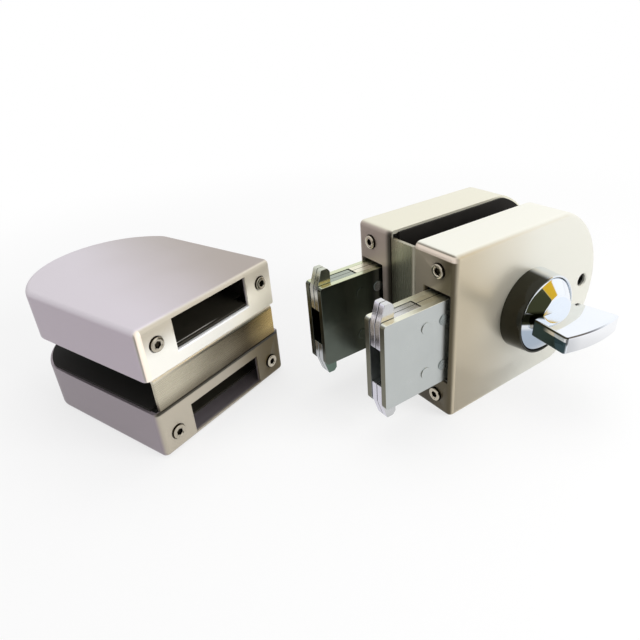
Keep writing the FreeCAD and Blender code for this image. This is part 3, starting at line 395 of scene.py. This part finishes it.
def face_screw(shape, place):
    """One screw, with its axis along the unit's depth, in the unit's frame and in millimetres."""
    verts = spun(shape, SCREW_PROFILE, SCREW_STEPS)
    for vert in verts:
        if abs(vert.co.xy.length - SOCKET_RADIUS) < SOCKET_TOLERANCE:
            turn = math.atan2(vert.co.y, vert.co.x) % math.radians(60) - math.radians(30)
            vert.co.xy = vert.co.xy * (SOCKET_HALF_WIDTH / SOCKET_RADIUS / math.cos(turn))
    lying = Matrix.Translation(place) @ Matrix.Rotation(math.radians(90), 4, "Y")
    bmesh.ops.transform(shape, matrix=lying, verts=verts)


def turned_steel(name, place, colour, second, rough, socket_shade=False):
    """Bright turned steel with fine rings and faint stains, and painted shade deep in its sockets when asked for."""
    finish = Finish(name, place, Metallic=1.0)
    rings = finish.noise(2400)
    tone = finish.between(colour, second, finish.noise(300, 3.0))
    # Painted shade, darker with depth in the hexagon socket
    if socket_shade:
        depth = finish.axes(finish.place)[0]
        tone = finish.between(tone, display(52, 46, 36), finish.rise(depth, SOCKET_SHADE_START, SOCKET_SHADE_FULL))
    finish.set(Base_Color=tone, Roughness=rough + (rings - 0.5) * 0.12)
    finish.bump(rings, 0.003)
    return finish.material


for unit, place in (("lock", LOCK_PLACE), ("strike", STRIKE_PLACE)):
    shape = bmesh.new()
    for up in (SCREW_Y, -SCREW_Y):
        for through in (SCREW_Z, -SCREW_Z):
            face_screw(shape, (0, up, through))
    bmesh.ops.recalc_face_normals(shape, faces=shape.faces)
    bmesh.ops.transform(shape, matrix=place @ MILLIMETRES, verts=shape.verts)
    steel = turned_steel(unit + "_screw_steel", place, display(222, 214, 198), display(192, 182, 164), 0.2, True)
    finished(unit + "_socket_screws", shape, "fixed_parts", steel, [unit + "_face_screws"])


# Guides: brass rails screwed to the plates, brass bushes of the spindle, and spring-steel straps over
# the bolts; all inside the lock
brass = plated("machined_brass", display(196, 168, 104), display(170, 142, 84), 0.3, 90)
strap_steel = plated("strap_steel", display(160, 160, 156), display(136, 136, 134), 0.3, 90)
for name in ("front_guide_rails", "rear_guide_rails", "front_spindle_bush", "rear_spindle_bush"):
    dress(name, brass)
for name in ("front_guide_strap", "rear_guide_strap"):
    dress(name, strap_steel)


# Spindle and pinions: ground steel shaft through both halves, with a cut pinion for each rack, held
# on it by spring-steel circlips
ground_steel = plated("ground_steel", display(170, 170, 168), display(150, 150, 148), 0.25, 60)
oiled_steel = plated("oiled_gear_steel", display(128, 124, 116), display(96, 92, 84), 0.35, 240)
dress("spindle", ground_steel)
dress("front_pinion", oiled_steel)
dress("rear_pinion", oiled_steel)
dress("spindle_circlips", strap_steel)


# Hook bolts: three steel laminations riveted together, the middle one with the rack and its corners filled round the
# jaws' eyes. Zinc plated, bright blue at the front; the rear bolt is painted dark green, as painted shade and the dark
# reflection of the front bolt's back.
BOLT_EDGE, RACK_EDGE = 0.25, 0.2
BOLT_HALF = 17.2
PIVOT_X, PIVOT_Y = -10.2, 9.4
EYE_CLEAR = 5.45
EYE_START, EYE_END, EYE_STEP = 88, 7, -10
RACK_FRONT, RACK_BACK, RACK_LOW = -4.6, -10.0, 10.4
RACK_LAYER = (15.75, 21.35)
LAMINATION_JOINT = 18.55
JOINT_DARK = display(40, 38, 32)
HALVES = (("front", 1), ("rear", -1))


def passivated(name, colour, second, worn, rough, joint=False, tips=None, rims=None):
    """Bright zinc plate: smooth, cloudy, with faint scratches along the throw that show a warmer tone.

    A piece of two laminations has a dark joint between them. The sheared ends that look out of the case get painted
    light and shade by which way they face, and the upper edges a painted highlight."""
    finish = Finish(name, Metallic=1.0)
    up, through = finish.axes(finish.place)[1:]
    cloud = finish.noise(70, 3.0, 0.6)
    scratch = finish.noise((40, 1500, 1500), 4.0, 0.7)
    speck = finish.noise(2000, 1.0)
    tone = finish.layered(colour, (second, cloud), (worn, finish.ramp(scratch, 0.62, 0.8) * 0.35))
    # Painted light and shade on the ends that face out of the case, by the way their surface faces
    if tips:
        aside = finish.axes(finish.node("TexCoord", output="Normal"))[0]
        tone = finish.between(tone, tips, finish.ramp(-aside, 0.5, 0.8))
    # Painted highlight along the upper edges
    if rims:
        tone = finish.between(tone, rims, finish.rise(up, BOLT_HALF - 0.3, BOLT_HALF - 0.1))
    if joint:
        off_joint = abs(abs(through) - LAMINATION_JOINT * MM)
        tone = finish.between(tone, JOINT_DARK, finish.fall(off_joint, 0.1, 0.2))
    finish.set(Base_Color=tone, Roughness=rough + (cloud - 0.5) * 0.12 + (scratch - 0.5) * 0.12)
    finish.bump(speck + scratch, 0.003)
    return finish.material


def raised(shape, leaf, lift):
    """A block on one face, raised by a step; gives back the vertices of its far side."""
    made = bmesh.ops.extrude_face_region(shape, geom=[leaf])["geom"]
    far = [item for item in made if isinstance(item, bmesh.types.BMVert)]
    bmesh.ops.translate(shape, verts=far, vec=lift)
    return far


def filled(shape, outline, hand, side, layer):
    """Adds a block to a piece of the lock: an outline in x and y on the upper hand, 1, or the lower, -1,
    through a layer of a half, 1 for the front and -1 for the rear; all in millimetres."""
    low, high = layer
    to_lock = LOCK_PLACE @ MILLIMETRES
    points = [shape.verts.new(to_lock @ Vector((x, hand * y, side * low))) for x, y in outline]
    raised(shape, shape.faces.new(points), to_lock.to_3x3() @ Vector((0, 0, side * (high - low))))
    bmesh.ops.recalc_face_normals(shape, faces=shape.faces)


# Painted light and shade: the ends that face out of the case get their own painted tone, the upper edges a painted
# highlight, and the rear zinc is a darker copy of the front's, painted as shade and dark reflection
front_zinc = passivated("front_bolt_zinc", display(218, 222, 220), display(204, 209, 208), display(224, 220, 198),
                        0.3, tips=display(126, 124, 110), rims=display(252, 252, 234))
rear_zinc_in_shade = passivated("rear_bolt_zinc", display(112, 119, 110), display(88, 94, 87), display(180, 176, 150),
                       0.22, tips=display(90, 92, 82), rims=display(218, 224, 192))
rack_zinc = passivated("rack_zinc", display(226, 222, 200), display(206, 202, 180), display(232, 228, 206), 0.3,
                       joint=True, rims=display(246, 244, 222))
zincs = {"front": front_zinc, "rear": rear_zinc_in_shade}
rack_corner = [(RACK_FRONT, BOLT_HALF), (RACK_BACK, BOLT_HALF)]
for angle in range(EYE_START, EYE_END, EYE_STEP):
    rack_corner.append((PIVOT_X + EYE_CLEAR * math.cos(math.radians(angle)),
                        PIVOT_Y + EYE_CLEAR * math.sin(math.radians(angle))))
rack_corner.append((RACK_FRONT, RACK_LOW))
for half, side in HALVES:
    bolt, slot = half + "_bolt", "bolt_%s_zinc" % half
    refined(bolt + "_outer_plate", bolt, zincs[half], BOLT_EDGE)
    refined(bolt + "_inner_plate", bolt, zincs[half], BOLT_EDGE)
    shape = whole_faces(bolt + "_rack")
    for hand in (1, -1):
        filled(shape, rack_corner, hand, side, RACK_LAYER)
    finished(bolt + "_rack_filled", shape, bolt, rack_zinc, [bolt + "_rack"], RACK_EDGE)


# Rivets and jaw pins: soft steel; the rivets are headed flat over the outer plates, the pins are ground
# level and plated with them
RIVET_EDGE = 0.12
rivet_steel = turned_steel("rivet_steel", LOCK_PLACE, display(176, 184, 184), display(150, 156, 154), 0.28)
for half, zinc in zincs.items():
    bolt = half + "_bolt"
    refined(bolt + "_rivets", bolt, rivet_steel, RIVET_EDGE)
    refined(bolt + "_jaw_pins", bolt, zinc, RIVET_EDGE)


# Jaws: pairs of hooked steel leaves on pins in the bolt tips, their backs filled up to the plates' edge, tumbled bright
# and zinc plated; the rear pair's zinc is painted dark as shade, and the ends get painted tones of their own
JAW_EDGE = 0.25
JAW_LAYER = (16.0, 21.1)
JAW_BACK = ((-22.8, 15.0), (-22.8, 17.0), (-10.5, 17.0), (-10.5, 13.0))
# Painted light and shade: the ends that face out get painted tones, the rear jaws' upper edges a painted highlight, and
# the rear zinc is a darker copy of the front's, painted as shade
front_jaw_zinc = passivated("front_jaw_zinc", display(238, 238, 240), display(210, 212, 212),
                            display(242, 242, 240), 0.2, joint=True, tips=display(232, 230, 242))
rear_jaw_zinc_in_shade = passivated("rear_jaw_zinc_in_shade", display(120, 140, 128), display(96, 112, 104), display(180, 186, 172),
                           0.2, joint=True, tips=display(206, 208, 212), rims=display(206, 210, 196))
jaw_zincs = {"front": front_jaw_zinc, "rear": rear_jaw_zinc_in_shade}
for half, side in HALVES:
    for level, hand in (("upper", 1), ("lower", -1)):
        jaw = "%s_%s_jaw" % (half, level)
        shape = whole_faces(jaw)
        filled(shape, JAW_BACK, hand, side, JAW_LAYER)
        finished(jaw + "_filled", shape, jaw, jaw_zincs[half], [jaw], JAW_EDGE)


# Rose: brass cup under the thumb-turn, turned, polished and chromed; the side of it that faces the bolts is painted
# dark as a dark reflection
SPINDLE_X = 42.5
BIG_FACE = 27.0
TURNED_STEPS = 128
SPINDLE_LINE = LOCK_PLACE @ MILLIMETRES @ Matrix.Translation((SPINDLE_X, 0, BIG_FACE))
ROSE_PROFILE = ((4.05, 5.5), (15.2, 5.5), (15.2, 8.45), (15.35, 8.7), (15.6, 8.8), (15.85, 8.78), (16.05, 8.6),
                (16.12, 8.3), (16.9, 0.0), (9.2, 0.0), (9.2, -1.5), (4.05, -1.5), (4.05, 5.5))


def chromed(name, colour, second, rough):
    """Polished plate: nearly a mirror, with the faintest waves and finger marks."""
    finish = Finish(name, Metallic=1.0)
    wave = finish.noise(60)
    marks = finish.noise(350, 4.0, 0.65)
    finish.tone = finish.between(colour, second, wave)
    finish.set(Base_Color=finish.tone, Roughness=rough + finish.ramp(marks, 0.5, 0.8) * 0.07)
    finish.bump(wave, 0.05, 0.25)
    return finish


rose = chromed("rose_chrome", display(236, 240, 244), display(226, 232, 238), 0.08)
x, y, z = rose.axes(rose.place)
# Painted dark reflection on the side of the rose towards the bolts
rose.set(Base_Color=rose.between(rose.tone, display(57, 56, 48), rose.fall(x + y * 0.21, 43, 47)))
shape = bmesh.new()
spun(shape, ROSE_PROFILE, TURNED_STEPS)
bmesh.ops.recalc_face_normals(shape, faces=shape.faces)
bmesh.ops.transform(shape, matrix=SPINDLE_LINE, verts=shape.verts)
finished("thumb_rose_turned", shape, "fixed_parts", rose.material, ["thumb_rose"])


# Thumb-turn: a zinc casting, polished and chromed: a low cone that turns in the rose, and a flat paddle
# that widens to a curved end, all its edges eased by the polishing
CONE_PROFILE = ((0.0, 5.8), (14.6, 5.8), (14.9, 6.1), (14.9, 8.2), (14.85, 8.42), (14.7, 8.6), (14.4, 8.84),
                (10.1, 12.31), (9.8, 12.55), (9.5, 12.72), (9.2, 12.8), (8.8, 12.8), (0.0, 12.8))
PADDLE_NECK, PADDLE_ROOT, PADDLE_TIP = 8.0, 14.1, 17.0
PADDLE_FOOT, PADDLE_SHOULDER, PADDLE_CORNER, PADDLE_END = 10.6, 12.4, 28.2, 30.1
PADDLE_THICK = 6.8
PADDLE_TILT = -6.0
PADDLE_SLOPE = 0.105
END_STEPS = 24
CORNER_ROUND, RIM_ROUND = 1.2, 0.9
STEEP = math.radians(60)
NEAR = 0.1

turn = chromed("turn_chrome", display(246, 250, 255), display(238, 244, 252), 0.05)
x, y, z = turn.axes(turn.place)
aside, ahead, above = turn.axes(turn.node("TexCoord", output="Normal"))
# Painted reflections in the chrome: dark teal narrow sides of the paddle with a white streak, an end that lightens
# along it, darker rounded rims, a pale blue lower half of the cone and an olive patch on its upper half
on_blade = turn.rise(z, 39.6, 40.2)
on_cone = (1 - on_blade) * (1 - turn.ramp(-ahead, 0.93, 0.97))
off_middle = y + (x - SPINDLE_X * MM) * PADDLE_SLOPE
narrow_side_reflection = turn.ramp(abs(aside), 0.45, 0.9) * on_blade
streak_highlight = narrow_side_reflection * turn.rise(z, 44, 49) * turn.fall(abs(off_middle - 2 * MM), 0.5, 0.8)
end_face = turn.ramp(-ahead, 0.9, 0.96) * turn.rise(z, 48, 53)
rounded = turn.ramp(above, 0.3, 0.5) * (1 - turn.ramp(above, 0.85, 0.95)) * on_blade
front_rim_reflection = rounded * turn.ramp(-ahead, 0.3, 0.5) * turn.fall(x, 36, 52)
side_rim_reflection = rounded * turn.ramp(-aside, 0.2, 0.4)
lower_cone_reflection = turn.rise(-y, 0, 2) * on_cone
upper_cone_reflection = turn.rise(y, 0.6, 1.4) * on_cone * turn.fall(y, 5, 6.5) * turn.fall(x, 37, 40)
end_tone = turn.between(display(224, 226, 230), display(243, 244, 247), turn.rise(x, 27, 34))
turn.set(Base_Color=turn.layered(
    turn.tone, (end_tone, end_face), (display(120, 120, 126), front_rim_reflection), (display(186, 200, 216), lower_cone_reflection),
    (display(50, 52, 38), upper_cone_reflection), (display(62, 80, 84), narrow_side_reflection), (display(66, 64, 50), side_rim_reflection),
    (WHITE, streak_highlight)))

shape = bmesh.new()
spun(shape, CONE_PROFILE, TURNED_STEPS)
outline = [(-PADDLE_NECK, PADDLE_FOOT), (-PADDLE_ROOT, PADDLE_SHOULDER)]
for step in range(END_STEPS + 1):
    share = -1 + 2 * step / END_STEPS
    outline.append((PADDLE_TIP * share, PADDLE_CORNER + (PADDLE_END - PADDLE_CORNER) * (1 - share * share)))
outline += [(PADDLE_ROOT, PADDLE_SHOULDER), (PADDLE_NECK, PADDLE_FOOT)]
near_side = [shape.verts.new((across, -PADDLE_THICK / 2, out)) for across, out in outline]
far_side = raised(shape, shape.faces.new(near_side), (0, PADDLE_THICK, 0))
paddle = set(far_side) | {vert for vert in near_side if vert.is_valid}
tip_corners = [edge for edge in shape.edges if paddle.issuperset(edge.verts)
               and abs(edge.verts[0].co.y - edge.verts[1].co.y) > 1
               and abs(edge.verts[0].co.x) > PADDLE_TIP - NEAR]
bmesh.ops.bevel(shape, geom=tip_corners, affect="EDGES", offset=CORNER_ROUND, segments=4, profile=0.5, material=-1)
rims = [edge for edge in shape.edges if len(edge.link_faces) == 2 and edge.calc_face_angle(0) > STEEP
        and all(vert.co.z > PADDLE_FOOT - NEAR and abs(vert.co.y) > PADDLE_THICK / 2 - NEAR for vert in edge.verts)]
bmesh.ops.bevel(shape, geom=rims, affect="EDGES", offset=RIM_ROUND, segments=4, profile=0.5, material=-1)
bmesh.ops.rotate(shape, verts=shape.verts, cent=(0, 0, 0), matrix=Matrix.Rotation(math.radians(PADDLE_TILT), 3, "Z"))
bmesh.ops.recalc_face_normals(shape, faces=shape.faces)
bmesh.ops.transform(shape, matrix=SPINDLE_LINE, verts=shape.verts)
finished("thumb_turn_cast", shape, "turn_unit", turn.material, ["thumb_turn"])


# Key side: a chromed ring, and a nickel-plated cylinder body with its plug flush in the middle, turned
# from brass
RING_EDGE, CYLINDER_EDGE, PLUG_EDGE = 0.4, 0.3, 0.1
ring = chromed("ring_chrome", display(236, 240, 244), display(226, 232, 238), 0.08)
nickel = chromed("satin_nickel", display(206, 200, 184), display(190, 184, 168), 0.24)
refined("cylinder_ring", "fixed_parts", ring.material, RING_EDGE)
refined("key_cylinder", "fixed_parts", nickel.material, CYLINDER_EDGE)
refined("key_plug", "turn_unit", nickel.material, PLUG_EDGE)


# Strike boxes: thin zinc-plated sheet, folded and dull, behind each slot of the strike, coloured dark as painted shade
# inside the slots; the upper one has a painted highlight, a bright line across its wall
BOX_EDGE = 0.1
HIGHLIGHT_DEPTH = 3.2
sheet = Finish("box_zinc", STRIKE_PLACE, Metallic=0.3)
x, y, z = sheet.axes(sheet.place)
spangle = sheet.noise(200, 3.0, 0.6)
# The sheet's dark colour is painted shade inside the slots; a bright line across the upper box's wall is a painted
# highlight
highlight_line = sheet.fall(abs(x - HIGHLIGHT_DEPTH * MM), 0.15, 0.35) * sheet.rise(y, -6, 4) * sheet.rise(z, 4, 8)
sheet.set(Base_Color=sheet.layered(display(66, 63, 54), (display(50, 47, 40), spangle), (display(240, 238, 230), highlight_line)),
          Roughness=0.5 + (spangle - 0.5) * 0.18)
sheet.bump(sheet.noise(1800), 0.006)
refined("strike_upper_box", "fixed_parts", sheet.material, BOX_EDGE)
refined("strike_lower_box", "fixed_parts", sheet.material, BOX_EDGE)


# Table and room: a white table, soft white light from above and from the right, and a dark part and a
# warm part of the room behind the camera, which only the polished pieces show
TABLE_SIZE = 8.0
TABLE_LEVEL = -0.2
TABLE_WHITE, TABLE_SPECK = (0.86, 0.86, 0.86, 1.0), (0.84, 0.84, 0.84, 1.0)
BLACK = (0.0, 0.0, 0.0, 1.0)
ROOM_OLIVE, ROOM_WARM = (1.0, 1.04, 0.5, 1.0), display(222, 178, 52)
SOFT_LIGHT = 0.55


def rays(shading):
    """Which rays come from the camera and which from a mirror, as 0 or 1."""
    sockets = shading.node("LightPath").output.node.outputs
    return Field(shading, sockets["Is Camera Ray"]), Field(shading, sockets["Is Glossy Ray"])


shape = bmesh.new()
bmesh.ops.create_grid(shape, x_segments=1, y_segments=1, size=TABLE_SIZE / 2)
bmesh.ops.translate(shape, verts=shape.verts, vec=(0, 0, TABLE_LEVEL * MM))
mesh = bpy.data.meshes.new("table")
shape.to_mesh(mesh)
shape.free()
table = bpy.data.objects.new("table", mesh)
bpy.context.scene.collection.objects.link(table)

cloth = Finish("white_table", Matrix(), Roughness=0.9)
cloth.set(Base_Color=cloth.between(TABLE_WHITE, TABLE_SPECK, cloth.noise(900)))
x, y, z = cloth.axes(cloth.place)
seen, glossy = rays(cloth)
# The table glows: white to the camera, save a faint shadow near the pieces, and to mirrors a grey glow that brightens
# to the right, with a dark patch in front of the pieces on the left
far = cloth.rise(cloth.maths("SQRT", x * x + y * y), 160, 420)
dark = cloth.rise(-y, 155, 175) * cloth.fall(x, 40, 80) * cloth.rise(x, -300, -200)
reflected = (0.6 + cloth.rise(x, -140, 0) * 0.15 + cloth.rise(x, 70, 140) * 0.27) * (1 - dark * 0.94)
glow = cloth.node("Emission", {"Color": cloth.between(BLACK, WHITE, seen + (1 - seen) * reflected)})
share = seen * (0.7 + far * 0.3) + glossy * 0.85
mixed = cloth.node("MixShader", {0: share, 1: Field(cloth, cloth.shader.outputs[0]), 2: glow})
cloth.feed(cloth.tree.nodes["Material Output"].inputs["Surface"], mixed)
table.data.materials.append(cloth.material)

world = bpy.data.worlds.new("studio")
bpy.context.scene.world = world
room = Shading(world)
seen, glossy = rays(room)
x, y, z = room.axes(room.node("TexCoord", output="Generated"))
low_front = room.ramp(-y, 0.3, 0.4) * (1 - room.ramp(z, 0.52, 0.56))
dark = low_front * (1 - room.ramp(x, 0.36, 0.39)) * room.ramp(x, -0.7, -0.55)
warm = low_front * room.ramp(z, 0.37, 0.4) * room.ramp(x, 0.36, 0.39) * (1 - room.ramp(x, 0.78, 0.82))
tent = 0.92 + x * 0.12
strength = seen + (1 - seen) * (glossy * tent * (1 - dark * 0.95) + (1 - glossy) * SOFT_LIGHT)
tone = room.layered(WHITE, (ROOM_OLIVE, dark * glossy), (ROOM_WARM, warm * glossy))
light = room.node("VectorMath", {"Vector": tone, "Scale": strength}, operation="SCALE")
room.feed(room.tree.nodes["Background"].inputs["Color"], light)


def lamp(name, place, aim, size, watts):
    data = bpy.data.lights.new(name, "AREA")
    data.size = size
    data.energy = watts
    made = bpy.data.objects.new(name, data)
    made.location = place
    made.rotation_euler = (Vector(aim) - Vector(place)).to_track_quat("-Z", "Y").to_euler()
    made.visible_glossy = False
    bpy.context.scene.collection.objects.link(made)


lamp("top_lamp", place=(0.1, 0.1, 0.7), aim=(0, 0, 0), size=0.6, watts=2.0)
lamp("right_lamp", place=(0.3, -0.6, 0.3), aim=(-0.02, 0, 0.03), size=0.4, watts=3.8)


# Camera: above and to the left of the lock's front, as in the photograph; place, aim and lens were
# fitted to points of the two cases
LENS_PIXELS = 550.3
PICTURE = 640
SENSOR = 36.0
SHIFT_PIXELS = (-27.1, -16.1)
CAMERA_MM = (-111.0, -174.65, 141.9)
AZIMUTH, ELEVATION, ROLL = math.radians(-34.71), math.radians(27.92), math.radians(-3.52)
camera_data = bpy.data.cameras.new("camera")
camera_data.sensor_width = SENSOR
camera_data.lens = LENS_PIXELS / PICTURE * SENSOR
camera_data.shift_x, camera_data.shift_y = (pixels / PICTURE for pixels in SHIFT_PIXELS)
camera_data.clip_start = 0.01
camera_data.clip_end = 20.0
camera = bpy.data.objects.new("camera", camera_data)
bpy.context.scene.collection.objects.link(camera)
bpy.context.scene.camera = camera
back = Vector((math.sin(AZIMUTH) * math.cos(ELEVATION), -math.cos(AZIMUTH) * math.cos(ELEVATION), math.sin(ELEVATION)))
right = (-back).cross(Vector((0, 0, 1))).normalized()
up = back.cross(right)
right_rolled = math.cos(ROLL) * right + math.sin(ROLL) * up
up_rolled = math.cos(ROLL) * up - math.sin(ROLL) * right
aimed = Matrix((right_rolled, up_rolled, back)).transposed().to_4x4()
camera.matrix_world = Matrix.Translation(Vector(CAMERA_MM) * MM) @ aimed

bpy.context.scene.view_settings.view_transform = "Standard"
